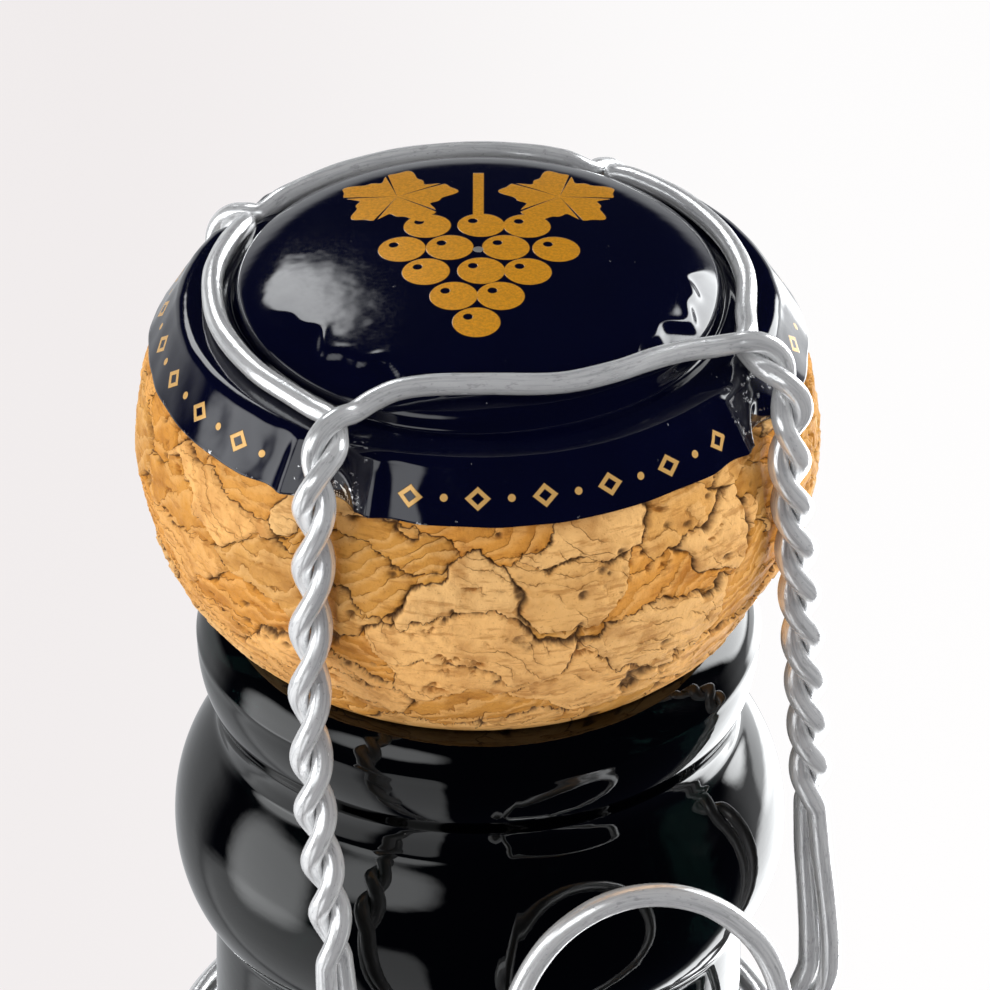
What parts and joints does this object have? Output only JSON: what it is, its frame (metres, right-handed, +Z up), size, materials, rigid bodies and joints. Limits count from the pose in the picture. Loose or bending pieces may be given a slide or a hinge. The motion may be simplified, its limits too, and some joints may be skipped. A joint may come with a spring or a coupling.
{
  "type": "champagne bottle",
  "caption": "Corked champagne bottle with a twisted wire cage, an enamelled cap plate over the mushroom cork and a pull loop at the neck; it stands on its ring base.",
  "frame": {"origin": "centre of the bottle's base, on the surface that it stands on", "axes": "+Z up along the bottle's axis; -Y is the side that the picture faces, with the pull loop"},
  "size_m": [0.088, 0.088, 0.3184],
  "materials": {
    "glass": "very dark green glass, glossy",
    "wine": "pale gold wine",
    "cork_granules": "pressed cork granules, matte",
    "cork_disc": "whole natural cork, matte",
    "cap_enamel": "glossy black enamel on tin with a printed gold ornament",
    "wire": "galvanised steel wire, satin with fine scuffs"
  },
  "bodies": {
    "bottle": {"bottle_glass": "glass", "wine": "wine"},
    "cork": {"cork_body": "cork_granules", "cork_disc_upper": "cork_disc", "cork_disc_lower": "cork_disc"},
    "cage": {"cap_plate": "cap_enamel", "cage_top_wire": "wire", "cage_leg_front_left": "wire", "cage_leg_front_right": "wire", "cage_leg_back_right": "wire", "cage_leg_back_left": "wire", "belt_wire": "wire"},
    "loop": {"belt_loop": "wire"}
  },
  "joints": [
    {"name": "cork_pull", "type": "slide", "parent": "bottle", "child": "cork", "axis": [0, 0, 1], "range_m": [0, 0.03], "deforming": ["cage_leg_front_left", "cage_leg_front_right", "cage_leg_back_right", "cage_leg_back_left", "belt_wire"]},
    {"name": "cage_lift", "type": "slide", "parent": "cork", "child": "cage", "axis": [0, 0, 1], "range_m": [0, 0.06], "deforming": ["cage_leg_front_left", "cage_leg_front_right", "cage_leg_back_right", "cage_leg_back_left", "belt_wire"]},
    {"name": "loop_fold", "type": "hinge", "parent": "cage", "child": "loop", "pos_m": [0.00774, -0.01586, 0.2725], "axis": [0.9903, 0.1392, 0], "range_deg": [0, 150]}
  ]
}
